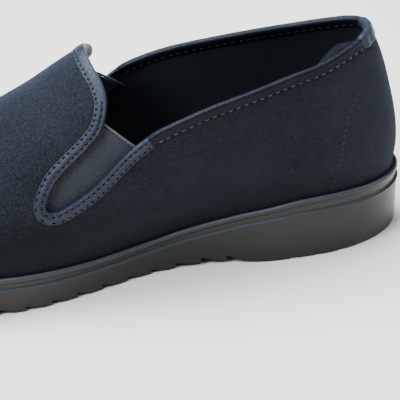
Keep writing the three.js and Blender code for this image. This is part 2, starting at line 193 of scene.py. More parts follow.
def ribList():
    # ribs run round the last from the middle of the heel, past the inner side and toe and back
    toeCentre = last["toeCentre"]
    heelFan = [(heelCentre, -1, math.pi / 2 * i / last["heelRibs"]) for i in range(last["heelRibs"])]
    across = [(heelCentre + (toeCentre - heelCentre) * i / last["midRibs"], 0, math.pi / 2)
              for i in range(last["midRibs"] + 1)]
    toeFan = [(toeCentre, 1, math.pi / 2 * i / last["toeRibs"]) for i in reversed(range(last["toeRibs"]))]
    half = heelFan + across + toeFan
    return [(1, *rib) for rib in half] + [(-1, *rib) for rib in reversed(half[1:-1])]


def levelPoint(rib, name):
    side, x, turn, angle = rib
    half = lambda place: reach[name][side](place) - side * spineY(place)
    if not turn:
        return np.array([x, spineY(x) + side * half(x), reach[name]["height"](x)])
    end = last["toeEnd" if turn > 0 else "heelEnd"][name]
    power = 2 / last["toeRound" if turn > 0 else "heelRound"]
    forward = math.cos(angle) ** power * (end[0] - x)
    aside = math.sin(angle) ** power
    flare = (half(x) - half(x - turn)) * turn
    y = spineY(x) + side * (half(x) * aside + flare * forward * aside ** 2)
    return np.array([x + forward, y, reach[name]["height"](x + forward)])


def ribCurve(rib):
    # one rib from the crown down to the foot line, in equal steps
    foot, belly, flank, shoulder = [levelPoint(rib, name) for name in levelNames]
    foot[2] = rimAt(foot[0]) - last["footDepth"]
    x = rib[1]
    top = np.array([x, spineY(x), crownZ(x)])
    before = np.array([belly[0], belly[1], 2 * foot[2] - belly[2]])
    after = 2 * top - shoulder
    after[2] = shoulder[2] - 2 * (shoulder[0] - x) * crownSlope(x)
    rows = np.array([before, foot, belly, flank, shoulder, top, after])
    along = lengthsAlong(rows)
    at = np.linspace(along[5], along[1], last["steps"] + 1)
    return np.stack([smoothCurve(along, rows[:, k])(at) for k in range(3)], axis=1)


ribs = ribList()
skin = np.array([ribCurve(rib) for rib in ribs])  # rib, step, xyz
spines = np.array([(rib[1], float(spineY(rib[1])), 0) for rib in ribs])


def skinNormals(points):
    around = np.roll(points, -1, axis=0) - np.roll(points, 1, axis=0)
    down = np.gradient(points, axis=1)
    normals = unit(np.cross(around, down))
    slope = np.array([float(crownSlope(rib[1])) for rib in ribs])
    normals[:, 0] = unit(np.stack([-slope, 0 * slope, 1 + 0 * slope], axis=1))
    return normals


# Soft creases laid in the cloth: side, x and z of both ends, half width, depth (a ridge is negative)
creases = [
    (1, 86, 40, 104, 84, 9, 0.5), (1, 66, 36, 74, 78, 7, 0.35), (1, 50, 88, 74, 84, 5, 0.35),
    (1, 118, 26, 142, 34, 4, 0.4), (1, 126, 32, 150, 38, 4, -0.35), (1, 100, 30, 124, 26, 4, 0.35),
    (1, 186, 58, 190, 40, 5, 0.3), (1, 176, 40, 196, 36, 4, 0.3), (1, 168, 92, 186, 74, 7, 0.3),
    (-1, 84, 40, 108, 82, 9, 0.55), (-1, 120, 30, 146, 36, 5, 0.4), (-1, 64, 42, 72, 80, 7, 0.35),
    (-1, 184, 60, 192, 40, 5, 0.3), (-1, 206, 60, 214, 38, 6, 0.3), (-1, 166, 92, 184, 74, 7, 0.3),
]


def relief(points):
    depth = np.zeros(points.shape[:-1])
    for side, x0, z0, x1, z1, width, deep in creases:
        run = np.array([x1 - x0, z1 - z0], float)
        length = np.linalg.norm(run)
        offset = points[..., [0, 2]] - (x0, z0)
        along = offset @ run / length ** 2
        across = (offset @ np.array([-run[1], run[0]])) / length
        bend = across - width * 0.35 * np.sin(np.pi * np.clip(along, 0, 1))
        fade = smoothStep(along, -0.15, 0.3) * (1 - smoothStep(along, 0.7, 1.15))
        fade = fade * (side * points[..., 1] > 0)
        depth += deep * fade * np.exp(-(bend / width) ** 2)
    return depth


normals = skinNormals(skin)
skin = skin - normals * relief(skin)[..., None]
normals = skinNormals(skin)
print("last shaped:", skin.shape[0], "ribs")


# Making and finishing meshes

def deselectAll():
    if bpy.context.object and bpy.context.object.mode != "OBJECT":
        bpy.ops.object.mode_set(mode="OBJECT")
    bpy.ops.object.select_all(action="DESELECT")


def makeActive(piece):
    deselectAll()
    piece.select_set(True)
    bpy.context.view_layer.objects.active = piece


def newObject(name, data):
    thing = bpy.data.objects.new(name, data)
    bpy.context.scene.collection.objects.link(thing)
    return thing


def weld(piece, fillEnds=False):
    makeActive(piece)
    bpy.ops.object.mode_set(mode="EDIT")
    bpy.ops.mesh.select_all(action="SELECT")
    bpy.ops.mesh.remove_doubles(threshold=0.002 * mm)
    if fillEnds:
        bpy.ops.mesh.select_all(action="DESELECT")
        bpy.ops.mesh.select_non_manifold()
        bpy.ops.mesh.fill_holes(sides=0)
        bpy.ops.mesh.select_all(action="SELECT")
    bpy.ops.mesh.normals_make_consistent(inside=False)
    bpy.ops.object.mode_set(mode="OBJECT")


def applyModifier(piece, kind, **values):
    makeActive(piece)
    modifier = piece.modifiers.new(kind.lower(), kind)
    for key, value in values.items():
        setattr(modifier, key, value)
    bpy.ops.object.modifier_apply(modifier=modifier.name)


def smoothShade(piece, degrees=60):
    makeActive(piece)
    bpy.ops.object.shade_smooth_by_angle(angle=math.radians(degrees))


def gridPiece(name, points, closed=True):
    # a flat grid laid over rows of points, with its UV map in centimetres along and across
    rows, columns = points.shape[:2]
    deselectAll()
    bpy.ops.mesh.primitive_grid_add(x_subdivisions=columns - 1, y_subdivisions=rows - 1, size=1)
    piece = bpy.context.object
    piece.name = piece.data.name = name
    along = np.array([lengthsAlong(row) for row in points])
    across = np.array([lengthsAlong(column) for column in points.transpose(1, 0, 2)]).T
    corners = np.zeros(len(piece.data.loops), np.int32)
    piece.data.loops.foreach_get("vertex_index", corners)
    uv = np.stack([along.reshape(-1)[corners], across.reshape(-1)[corners]], axis=1) * 0.1
    piece.data.uv_layers.active.data.foreach_set("uv", uv.reshape(-1))
    piece.data.vertices.foreach_set("co", toScene(points).reshape(-1))
    piece.data.update()
    if closed:
        weld(piece)
    return piece


def solidPiece(name, rings):
    # rings of points joined into a tube, its two ends closed by flat faces
    piece = gridPiece(name, np.concatenate([rings, rings[:, :1]], axis=1), closed=False)
    weld(piece, fillEnds=True)
    return piece


def dress(piece, look, slot, *nodes):
    piece.data.materials.clear()
    piece.data.materials.append(finish[look])
    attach(piece, "root")
    if nodes:
        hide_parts(*nodes)


# The cloth's surface, to lay trims on

clothHelper = gridPiece("clothSurface", closedRound(skin))
insideLast = Vector((0.08, 0, 0.05))
if np.mean([(v.co - insideLast).dot(v.normal) for v in clothHelper.data.vertices]) < 0:
    clothHelper.data.flip_normals()
clothMesh = clothHelper.data
clothTree = BVHTree.FromObject(clothHelper, bpy.context.evaluated_depsgraph_get())
bpy.data.objects.remove(clothHelper)


def nearCloth(point):
    # the nearest place on the cloth, and its smooth normal
    spot, _, face, _ = clothTree.find_nearest(Vector(toScene(point)))
    corners = clothMesh.polygons[face].vertices
    weights = poly_3d_calc([clothMesh.vertices[i].co for i in corners], spot)
    normal = Vector()
    for weight, i in zip(weights, corners):
        normal += weight * clothMesh.vertices[i].normal
    return fromScene(spot), np.array(normal.normalized())


print("cloth surface ready")


# The cut edge of the cloth

edge = {
    # x, height, then lift and lean on the outer side where there are any
    "collar": [
        (-22, 106.3), (13.8, 104, 0.1), (30.2, 100.2, 0.5), (46.8, 96.1, 1.1), (62.7, 93.2, 1.7),
        (85.2, 88.8, 2.4), (105.3, 84.9, 2.8), (121, 80.5, 2.8), (130.9, 76.3, 2.8),
    ],
    "gusset": [
        (140.2, 70.3, 1.8), (146.3, 65.2, 0.8), (154.6, 57.8), (162.8, 52), (170.2, 48.2), (175.7, 46.6),
        (179.4, 48), (179.4, 52.4), (174.3, 61), (166.9, 67.8), (157.3, 75.9), (152.2, 81.3), (149.3, 86.9),
    ],
    "tongue": [
        (147.8, 92.7, 0, 2), (148.5, 98.4, 0, 2.8), (150.7, 102.8, 0, 1.3), (152.9, 109), (154, 123.2),
    ],
    "ceiling": 160, "stepsPerRow": 8, "snap": 0.08, "spacing": 0.8, "soften": 2,
}


def splineThrough(rows, steps):
    # a round curve through rows of points, with equal steps in each span
    rows = np.array(rows, float)
    line = []
    for i in range(len(rows) - 1):
        a, b, c, d = rows[max(i - 1, 0)], rows[i], rows[i + 1], rows[min(i + 2, len(rows) - 1)]
        leave, arrive = (c - a) / 2, (d - b) / 2
        for t in np.arange(steps) / steps:
            cubic = (2 * b - 2 * c + leave + arrive) * t ** 3 + (3 * c - 3 * b - 2 * leave - arrive) * t ** 2
            line.append(cubic + leave * t + b)
    return np.array([*line, rows[-1]])


def edgeRows(rows, side):
    # x and height on one side: the outer side is lifted and leans back
    outer = 1 if side < 0 else 0
    filled = [(*row, 0, 0)[:4] for row in rows]
    return np.array([(x - outer * lean, z + outer * lift) for x, z, lift, lean in filled])


edgeTable = edge["collar"] + edge["gusset"] + edge["tongue"]
edgeLines = {side: splineThrough(edgeRows(edgeTable, side), edge["stepsPerRow"]) for side in (1, -1)}


def lineDistance(flat, line):
    # the distance of points from a line, both in the side view
    best = np.full(len(flat), 1e9)
    for a, b in zip(line[:-1], line[1:]):
        run = b - a
        t = np.clip((flat - a) @ run / max(run @ run, 1e-12), 0, 1)
        best = np.minimum(best, np.linalg.norm(flat - a - t[:, None] * run, axis=1))
    return best


def insideOf(flat, outline):
    inside = np.zeros(len(flat), bool)
    for a, b in zip(outline, np.roll(outline, -1, axis=0)):
        if a[1] == b[1]:
            continue
        crosses = (a[1] > flat[:, 1]) != (b[1] > flat[:, 1])
        inside ^= crosses & (flat[:, 0] < (b[0] - a[0]) * (flat[:, 1] - a[1]) / (b[1] - a[1]) + a[0])
    return inside


def edgeDistance(points):
    # above zero on the cloth, below zero in the opening
    result = np.zeros(len(points))
    for side in (1, -1):
        chosen = points[:, 1] * side >= 0
        flat = points[chosen][:, [0, 2]]
        line = edgeLines[side]
        ceiling = [(line[-1][0], edge["ceiling"]), (line[0][0], edge["ceiling"])]
        inside = insideOf(flat, np.concatenate([line, ceiling]))
        result[chosen] = lineDistance(flat, line) * np.where(inside, -1, 1)
    return result


def cutAway(piece, distanceOf):
    # cuts the piece where the distance is zero, keeps the positive side and returns the cut's vertices
    mesh = bmesh.new()
    mesh.from_mesh(piece.data)
    mesh.verts.ensure_lookup_table()
    values = distanceOf(fromScene([v.co for v in mesh.verts]))
    values[np.abs(values) < edge["snap"]] = 0
    distance = dict(zip(mesh.verts, values))
    onCut = [v for v in mesh.verts if distance[v] == 0]
    for line in list(mesh.edges):
        a, b = line.verts
        if distance[a] * distance[b] < 0:
            share = distance[a] / (distance[a] - distance[b])
            _, v = bmesh.utils.edge_split(line, a, share)
            distance[v] = 0
            onCut.append(v)
    bmesh.ops.connect_verts(mesh, verts=onCut)
    gone = [f for f in mesh.faces if sum(distance[v] for v in f.verts) < 0]
    bmesh.ops.delete(mesh, geom=gone, context="FACES")
    bmesh.ops.delete(mesh, geom=[v for v in mesh.verts if not v.link_faces], context="VERTS")
    rim = []
    cutEdges = {}
    for line in mesh.edges:
        a, b = line.verts
        if len(line.link_faces) == 1 and distance.get(a) == 0 and distance.get(b) == 0:
            cutEdges.setdefault(a, []).append(b)
            cutEdges.setdefault(b, []).append(a)
    if cutEdges:
        here = min(cutEdges, key=lambda v: v.co.x)
        before = None
        while here is not None and (not rim or here is not rim[0]):
            rim.append(here)
            onward = [v for v in cutEdges[here] if v is not before]
            if before is None:
                onward = sorted(onward, key=lambda v: -v.co.y)
            before, here = here, onward[0] if onward else None
    rim = fromScene([v.co for v in rim]) if rim else None
    mesh.to_mesh(piece.data)
    mesh.free()
    piece.data.update()
    return rim


def resampled(points, spacing):
    # a closed row of points at equal steps, slightly softened
    closed = np.concatenate([points, points[:1]])
    length = lengthsAlong(closed)[-1]
    row = placesAlong(closed, np.linspace(0, length, int(length / spacing), endpoint=False))
    for _ in range(edge["soften"]):
        row = (np.roll(row, 1, axis=0) + 2 * row + np.roll(row, -1, axis=0)) / 4
    return row


# The upper: one shell of cloth with its wall, lined inside

upperWall = 1.6
upper = gridPiece("clothUpper", closedRound(skin))
if upper.data.polygons[0].normal.z < 0:
    upper.data.flip_normals()
edgePath = resampled(cutAway(upper, edgeDistance), edge["spacing"])
print("edge path:", len(edgePath), "steps")

pathTangents = unit(np.roll(edgePath, -1, axis=0) - np.roll(edgePath, 1, axis=0))
pathNormals = np.array([nearCloth(p)[1] for p in edgePath])
pathDown = unit(np.cross(pathNormals, pathTangents))
pathStep = np.linalg.norm(edgePath[1] - edgePath[0])


def pathMark(row, side):
    # the step of the path beside a row of the edge's table
    miss = np.linalg.norm(edgePath[:, [0, 2]] - edgeRows([row], side), axis=1)
    return int(np.argmin(miss + 1000 * (edgePath[:, 1] * side < 0)))


collarMarks = {side: pathMark(edge["collar"][-1], side) for side in (1, -1)}
tongueMarks = {side: pathMark(edge["tongue"][0], side) for side in (1, -1)}
gussetSpans = {1: (collarMarks[1], tongueMarks[1]), -1: (tongueMarks[-1], collarMarks[-1])}
collarSpan = (collarMarks[-1], collarMarks[1] + len(edgePath))
tongueSpan = (tongueMarks[1], tongueMarks[-1])
print("gussets at", gussetSpans)


def pathSpot(step, down, lift):
    # a place beside the edge: down into the cloth, lifted off it; step may be a fraction
    low = math.floor(step)
    i, j = low % len(edgePath), (low + 1) % len(edgePath)
    t = step - low
    start = edgePath[i] * (1 - t) + edgePath[j] * t
    way = unit(pathDown[i] * (1 - t) + pathDown[j] * t)
    base, normal = nearCloth(start + way * down)
    return base + normal * lift


# Materials. Colours are linear, lengths of patterns are in metres of the scene

def socketNode(nodes, kind, **values):
    node = nodes.new(kind)
    for key, value in values.items():
        node.inputs[key].default_value = value
    return node


def newGroup(name, inputs, output):
    group = bpy.data.node_groups.new(name, "ShaderNodeTree")
    for label, value in inputs:
        socket = group.interface.new_socket(label, in_out="INPUT", socket_type="NodeSocketFloat")
        socket.default_value = value
    group.interface.new_socket(output, in_out="OUTPUT", socket_type="NodeSocketFloat")
    return group, group.nodes.new("NodeGroupInput"), group.nodes.new("NodeGroupOutput")


def mathNode(group, operation, *values):
    node = group.nodes.new("ShaderNodeMath")
    node.operation = operation
    for socket, value in zip(node.inputs, values):
        if isinstance(value, (int, float)):
            socket.default_value = value
        else:
            group.links.new(value, socket)
    return node.outputs[0]


def axesOf(group, kind):
    # x, y and z of a texture coordinate
    place, parts = group.nodes.new("ShaderNodeTexCoord"), group.nodes.new("ShaderNodeSeparateXYZ")
    group.links.new(place.outputs[kind], parts.inputs[0])
    return parts.outputs


def rangeNode(group, value, smooth=False, **ends):
    # a value spread over a range, given by its two ends
    node = group.nodes.new("ShaderNodeMapRange")
    node.interpolation_type = "SMOOTHSTEP" if smooth else "LINEAR"
    for name, pair in ends.items():
        node.inputs[name + " Min"].default_value, node.inputs[name + " Max"].default_value = pair
    group.links.new(value, node.inputs["Value"])
    return node.outputs["Result"]


def makeWeaveGroup():
    # plain weave seen along x, y and z, mixed by which way the cloth faces
    group, start, end = newGroup("clothWeave", [("Pitch", 0.0006), ("Sharpness", 3.0)], "Height")
    places, facing = axesOf(group, "Object"), axesOf(group, "Normal")
    turn = mathNode(group, "DIVIDE", 2 * math.pi, start.outputs["Pitch"])
    waves = [mathNode(group, "SINE", mathNode(group, "MULTIPLY", places[k], turn)) for k in range(3)]
    shares = [mathNode(group, "POWER", mathNode(group, "ABSOLUTE", facing[k]), start.outputs["Sharpness"])
              for k in range(3)]
    terms = [mathNode(group, "MULTIPLY", mathNode(group, "MULTIPLY", waves[a], waves[b]), share)
             for (a, b), share in zip([(1, 2), (0, 2), (0, 1)], shares)]
    summed, total = [mathNode(group, "ADD", mathNode(group, "ADD", row[0], row[1]), row[2])
                     for row in (terms, shares)]
    group.links.new(mathNode(group, "DIVIDE", summed, total), end.inputs["Height"])
    return group


def makeMottleGroup():
    # slow and fine change of shade over a surface, between zero and one
    inputs = [("Slow", 40.0), ("Fine", 900.0), ("FineShare", 0.5)]
    group, start, end = newGroup("fibreMottle", inputs, "Shade")
    nodes, links = group.nodes, group.links
    coordinates = nodes.new("ShaderNodeTexCoord")
    slow = socketNode(nodes, "ShaderNodeTexNoise", Detail=3.0, Roughness=0.6)
    fine = socketNode(nodes, "ShaderNodeTexNoise", Detail=4.0, Roughness=0.7)
    for noise, label in ((slow, "Slow"), (fine, "Fine")):
        links.new(coordinates.outputs["Object"], noise.inputs["Vector"])
        links.new(start.outputs[label], noise.inputs["Scale"])
    mix = nodes.new("ShaderNodeMix")
    links.new(start.outputs["FineShare"], mix.inputs["Factor"])
    links.new(slow.outputs["Fac"], mix.inputs["A"])
    links.new(fine.outputs["Fac"], mix.inputs["B"])
    links.new(mix.outputs["Result"], end.inputs["Shade"])
    return group


weaveGroup = makeWeaveGroup()
mottleGroup = makeMottleGroup()


def patternOutput(tree, kind, size):
    # a pattern's height and the middle that it swings about
    nodes, links = tree.nodes, tree.links
    if kind == "weave":
        source = nodes.new("ShaderNodeGroup")
        source.node_tree = weaveGroup
        source.inputs["Pitch"].default_value = size
        return source.outputs["Height"], 0.0
    if kind == "low":
        # painted shade, darker towards the sole: size holds the two heights that it changes between
        return rangeNode(tree, axesOf(tree, "Object")["Z"], From=size), 1.0
    place = nodes.new("ShaderNodeTexCoord")
    if kind in ("ribsAlong", "ribsAcross"):
        source = socketNode(nodes, "ShaderNodeTexWave", Scale=size, Distortion=0.0)
        source.bands_direction = "X" if kind == "ribsAcross" else "Y"
        links.new(place.outputs["UV"], source.inputs["Vector"])
    else:
        source = socketNode(nodes, "ShaderNodeTexNoise", Scale=size, Detail=4.0, Roughness=0.65)
        links.new(place.outputs["Object"], source.inputs["Vector"])
    return source.outputs["Fac"], 0.5


def makeMaterial(name, look):
    # look: dark and light colour, how shades spread, patterns and painted shade in the shade, a painted
    # highlight on what faces up, roughness, bumps and gloss
    material = bpy.data.materials.new(name)
    material.use_nodes = True
    tree = material.node_tree
    nodes, links = tree.nodes, tree.links
    shader = nodes["Principled BSDF"]
    for label, value in look["shader"].items():
        shader.inputs[label].default_value = value
    mottle = nodes.new("ShaderNodeGroup")
    mottle.node_tree = mottleGroup
    for label, value in zip(("Slow", "Fine", "FineShare"), look["mottle"]):
        mottle.inputs[label].default_value = value
    shade = mottle.outputs["Shade"]
    for kind, size, share in look.get("shades", []):
        pattern, middle = patternOutput(tree, kind, size)
        swing = mathNode(tree, "MULTIPLY", mathNode(tree, "SUBTRACT", pattern, middle), share)
        shade = mathNode(tree, "ADD", shade, swing)
    ramp = nodes.new("ShaderNodeValToRGB")
    ramp.color_ramp.elements[0].position, ramp.color_ramp.elements[1].position = look["spread"]
    ramp.color_ramp.elements[0].color = (*look["dark"], 1)
    ramp.color_ramp.elements[1].color = (*look["light"], 1)
    links.new(shade, ramp.inputs["Fac"])
    colour = ramp.outputs["Color"]
    if "top" in look:
        # painted highlight: a lighter colour on what faces up
        mix = nodes.new("ShaderNodeMix")
        mix.data_type = "RGBA"
        facing = rangeNode(tree, axesOf(tree, "Normal")["Z"], smooth=True, From=look["top"]["facing"])
        links.new(facing, mix.inputs["Factor"])
        links.new(colour, mix.inputs["A"])
        mix.inputs["B"].default_value = (*look["top"]["colour"], 1)
        colour = mix.outputs["Result"]
    links.new(colour, shader.inputs["Base Color"])
    links.new(rangeNode(tree, mottle.outputs["Shade"], To=look["roughness"]), shader.inputs["Roughness"])
    normal = None
    for kind, size, depth in look["bumps"]:
        bump = nodes.new("ShaderNodeBump")
        bump.inputs["Distance"].default_value = depth
        links.new(patternOutput(tree, kind, size)[0], bump.inputs["Height"])
        if normal:
            links.new(normal, bump.inputs["Normal"])
        normal = bump.outputs["Normal"]
    links.new(normal, shader.inputs["Normal"])
    return material


blueSheen = (0.6, 0.72, 1, 1)
padLook = {
    "spread": (0.34, 0.68), "mottle": (50.0, 900.0, 0.5), "shades": [("weave", 0.001, 0.08)],
    "bumps": [("weave", 0.001, 0.0001), ("noise", 500.0, 0.0002)],
}
satinLook = {
    "spread": (0.32, 0.7), "mottle": (120.0, 1300.0, 0.6),
    "bumps": [("ribsAcross", 6.0, 0.00005), ("noise", 900.0, 0.00025)],
}
threadLook = {
    "spread": (0.3, 0.7), "mottle": (200.0, 2500.0, 0.6), "bumps": [("noise", 2500.0, 0.00004)],
}
looks = {
    "cloth": {
        "dark": (0.0026, 0.0032, 0.0048), "light": (0.0106, 0.0128, 0.0184), "spread": (0.41, 0.59),
        "mottle": (30.0, 850.0, 0.78), "roughness": (0.86, 0.98),
        # painted shade: the cloth is darker towards the sole, where it lies in shade
        "shades": [("weave", 0.0009, 0.05), ("low", (0.027, 0.048), 0.24)],
        "bumps": [("weave", 0.0009, 0.00012), ("noise", 1500.0, 0.00032)],
        "shader": {"Sheen Weight": 0.12, "Sheen Roughness": 0.42, "Sheen Tint": (0.58, 0.7, 1, 1),
                   "Specular IOR Level": 0.15},
    },
    "lining": {
        **padLook, "dark": (0.003, 0.0037, 0.005), "light": (0.0075, 0.009, 0.0116),
        "roughness": (0.85, 0.97),
        "shader": {"Specular IOR Level": 0.2, "Sheen Weight": 0.06, "Sheen Tint": blueSheen},
    },
    "pad": {
        **padLook, "dark": (0.01, 0.0125, 0.0175), "light": (0.026, 0.031, 0.041), "roughness": (0.8, 0.95),
        "shader": {"Specular IOR Level": 0.25, "Sheen Weight": 0.15, "Sheen Tint": blueSheen},
    },
    "satin": {
        **satinLook, "dark": (0.009, 0.0117, 0.0195), "light": (0.0182, 0.0235, 0.0375),
        "roughness": (0.28, 0.42),
        "shader": {"Specular IOR Level": 0.2, "Sheen Weight": 0.1, "Sheen Roughness": 0.3,
                   "Sheen Tint": blueSheen},
    },
    # painted shade: the collar's binding is the satin painted darker, for its face that lies in shade under
    # the roll
    "binding": {
        **satinLook, "dark": (0.0019, 0.0029, 0.0058), "light": (0.0047, 0.0068, 0.0128),
        "roughness": (0.26, 0.4),
        "shader": {"Specular IOR Level": 0.1, "Sheen Weight": 0.08, "Sheen Roughness": 0.3,
                   "Sheen Tint": blueSheen},
    },
    "elastic": {
        "dark": (0.005, 0.0058, 0.008), "light": (0.033, 0.038, 0.0505), "spread": (0.1, 0.9),
        "mottle": (90.0, 1400.0, 0.7), "roughness": (0.75, 0.9),
        "shades": [("ribsAlong", 3.0, 0.22), ("ribsAcross", 8.0, 0.14)],
        "bumps": [("ribsAlong", 3.0, 0.00016), ("ribsAcross", 8.0, 0.00005)],
        "shader": {"Specular IOR Level": 0.3, "Sheen Weight": 0.08, "Sheen Roughness": 0.4,
                   "Sheen Tint": (0.62, 0.72, 0.95, 1)},
    },
    "hem": {
        "dark": (0.03, 0.033, 0.038), "light": (0.06, 0.064, 0.072), "spread": (0.3, 0.75),
        "mottle": (120.0, 1500.0, 0.6), "roughness": (0.5, 0.7), "bumps": [("ribsAcross", 10.0, 0.00006)],
        "shader": {"Sheen Weight": 0.1, "Sheen Roughness": 0.4},
    },
    "thread": {
        **threadLook, "dark": (0.027, 0.03, 0.037), "light": (0.062, 0.067, 0.078), "roughness": (0.5, 0.7),
        "shader": {"Sheen Weight": 0.2, "Sheen Roughness": 0.3},
    },
    "softThread": {
        **threadLook, "dark": (0.012, 0.014, 0.018), "light": (0.03, 0.034, 0.042),
        "roughness": (0.55, 0.75), "shader": {"Specular IOR Level": 0.3},
    },
    "darkThread": {
        **threadLook, "dark": (0.0008, 0.0009, 0.0013), "light": (0.0022, 0.0026, 0.0036),
        "roughness": (0.6, 0.8), "shader": {"Specular IOR Level": 0.04},
    },
    "rubber": {
        "dark": (0.006, 0.0065, 0.0067), "light": (0.01, 0.0107, 0.0109), "spread": (0.3, 0.75),
        "mottle": (25.0, 500.0, 0.4), "roughness": (0.25, 0.36),
        # painted highlight: the bead's and the ledge's tops, which face up, are painted lighter
        "top": {"facing": (0.04, 0.55), "colour": (0.041, 0.0465, 0.055)},
        "bumps": [("noise", 1600.0, 0.00003), ("noise", 90.0, 0.00004)],
        "shader": {"Specular IOR Level": 0.3, "Coat Weight": 0.06, "Coat Roughness": 0.2},
    },
    "sock": {
        "dark": (0.006, 0.0065, 0.008), "light": (0.014, 0.015, 0.018), "spread": (0.3, 0.75),
        "mottle": (45.0, 900.0, 0.5), "roughness": (0.8, 0.95),
        "bumps": [("weave", 0.001, 0.00009), ("noise", 300.0, 0.0002)],
        "shader": {"Specular IOR Level": 0.3},
    },
}
finish = {name: makeMaterial(name + "Finish", look) for name, look in looks.items()}
print("materials made:", len(finish))


# The upper's wall and lining

dress(upper, "cloth", "cloth", "upper")
upper.data.materials.append(finish["lining"])
applyModifier(upper, "SOLIDIFY", thickness=upperWall * mm, offset=-1, use_quality_normals=True,
              material_offset=1)
smoothShade(upper, 50)
print("upper:", len(upper.data.polygons), "faces")


# Bands and tapes folded over the edge: down into the cloth, lift off it, any share of the stitches' pucker

foldedIn = [(-0.15, -1.7), (-0.3, -0.8), (-0.12, 0.05), (2.2, 0.05)]
trims = {
    "collar": [
        (4.55, 0.06), (4.62, 0.3), (4.3, 0.44, 0.3), (3.9, 0.34, 1), (3.5, 0.46, 0.4), (2.9, 0.56, 0.1),
        (2.3, 0.66), (1.7, 0.78), (1.2, 0.95), (0.8, 1.1), (0.4, 1.16), (0, 1.12),
        (-0.5, 0.92), (-0.95, 0.35), (-1.1, -0.6), (-1, -1.6), (-0.5, -2.15), (0.5, -2.35),
        (3.9, -2.15), (4.1, -1.78), *foldedIn,
    ],
    "join": [
        (5.6, 0.1), (5.75, 0.5), (5.3, 0.8), (4.6, 0.9, 0.3), (3.9, 0.98, 0.5), (3.1, 1.12, 0.3),
        (2.4, 1.28), (1.8, 1.42), (1.3, 1.5), (0.9, 1.56), (0.4, 1.56), (0, 1.5),
        (-0.7, 1.3), (-1.2, 0.6), (-1.42, -0.5), (-1.35, -1.7), (-0.8, -2.5), (0.5, -2.75),
        (3.2, -2.55), (3.4, -1.78), *foldedIn,
    ],
    "tongue": [
        (4.75, 0.06), (4.85, 0.4), (4.5, 0.56, 0.2), (3.9, 0.46, 1), (3.5, 0.6, 0.4), (2.9, 0.76, 0.1),
        (2.2, 0.82), (1.6, 0.85), (1.1, 0.86), (0.7, 0.85), (0.3, 0.82), (-0.05, 0.76),
        (-0.5, 0.56), (-0.8, 0.15), (-0.9, -0.6), (-0.8, -1.6), (-0.4, -2.15),
        (0.5, -2.35), (2.8, -2.1), (3, -1.78), *foldedIn,
    ],
    "gusset": [
        (4.75, 0.06), (4.85, 0.45), (4.5, 0.66, 0.2), (3.9, 0.54, 1), (3.5, 0.74, 0.4), (3, 1, 0.1),
        (2.4, 1.14), (1.85, 1, 0.1), (1.4, 0.72, 0.4), (1.08, 0.54, 1), (0.7, 0.66, 0.4), (0.2, 0.8, 0.1),
        (-0.2, 0.62), (-0.5, 0.1), (-0.56, -0.6), (-0.56, -1.2), (-0.52, -1.62),
        (-0.35, -1.66), (-0.2, -1.66), (-0.15, -1.66), (-0.14, -1.3), (-0.12, -0.8),
        (-0.1, 0.05), (2.2, 0.05),
    ],
    "blend": 4,
}
stitches = {
    "tape": {"pitch": 2.9, "length": 1.65, "radius": 0.48, "thread": "darkThread"},
    "collar": {"pitch": 3.9, "length": 2, "radius": 0.24, "thread": "thread"},
    "counter": {"pitch": 2.9, "length": 1.5, "radius": 0.26, "thread": "softThread"},
    "lining": {"pitch": 3.9, "length": 2, "radius": 0.22, "thread": "softThread"},
}
puckerDepth = 0.45
stitchLift = 0.06
tapeGap = 0.15  # in steps of the path


def puckerAt(step, kind):
    # how far the band dips at a stitch
    phase = step * pathStep / stitches[kind]["pitch"]
    return puckerDepth * (0.5 + 0.5 * math.cos(2 * math.pi * phase)) ** 3


def gussetShare(step):
    # one beside a gusset, zero along collar and tongue, with a short change at each mark
    half = trims["blend"] / pathStep
    share = 0
    for first, final in gussetSpans.values():
        middle = (first + final) / 2
        away = abs((step - middle + len(edgePath) / 2) % len(edgePath) - len(edgePath) / 2)
        share += 1 - smoothStep(away, (final - first) / 2 - half, (final - first) / 2 + half)
    return float(share)


def profileTable(kind):
    return [(*row, 0)[:3] for row in trims[kind]]


def dippedProfile(step, kind, sewn):
    downs, lifts, dips = np.array(profileTable(kind)).T
    return np.array([downs, lifts - puckerAt(step, sewn) * dips])


def makeTrim(name, first, final, kind, node):
    rings = []
    for step in np.linspace(first, final, int(final - first) * 2 + 1):
        share = gussetShare(step)
        plain = dippedProfile(step, kind, "tape" if kind == "tongue" else "collar")
        profile = plain * (1 - share) + dippedProfile(step, "gusset", "tape") * share
        rings.append([pathSpot(step, down, lift) for down, lift in profile.T])
    piece = solidPiece(name, np.array(rings))
    # the collar's band takes the binding, the satin painted darker as painted shade
    dress(piece, "binding" if kind == "collar" else "satin", "tape" if "tape" in node else "binding", node)
    smoothShade(piece)


join = {"from": -8, "to": 21, "taper": 5, "start": 2, "creases": (4, 13), "crease": 0.45, "creaseWide": 2.2,
        "sweep": 2.6, "clear": 0.06, "innerFace": -1.8, "outerFace": 0.4}


def makeJoin():
    # the folded overlap where the two ends of the collar's binding meet behind the heel
    rings = []
    for step in np.arange(join["from"], join["to"] + 0.01, 0.5):
        ends = smoothStep(step, join["from"], join["from"] + join["start"])
        ends = float(ends * (1 - smoothStep(step, join["to"] - join["taper"], join["to"])))
        crease = sum(join["crease"] * math.exp(-((step - at) / join["creaseWide"]) ** 2)
                     for at in join["creases"])
        sweep = join["sweep"] * math.sin(math.pi * (step - join["from"]) / (join["to"] - join["from"]))
        ring = []
        for (lowDown, lowLift, _), (down, lift, share) in zip(profileTable("collar"), profileTable("join")):
            clear = join["clear"] * ((lift > join["clear"]) - (lift < join["innerFace"]))
            fall = lowDown + (down - lowDown + sweep * share) * ends
            rise = lowLift + (lift - lowLift) * ends + clear
            ring.append(pathSpot(step, fall, rise - crease * ends * (lift > join["outerFace"])))
        rings.append(ring)
    piece = solidPiece("collarJoin", np.array(rings))
    dress(piece, "satin", "binding")
    smoothShade(piece)


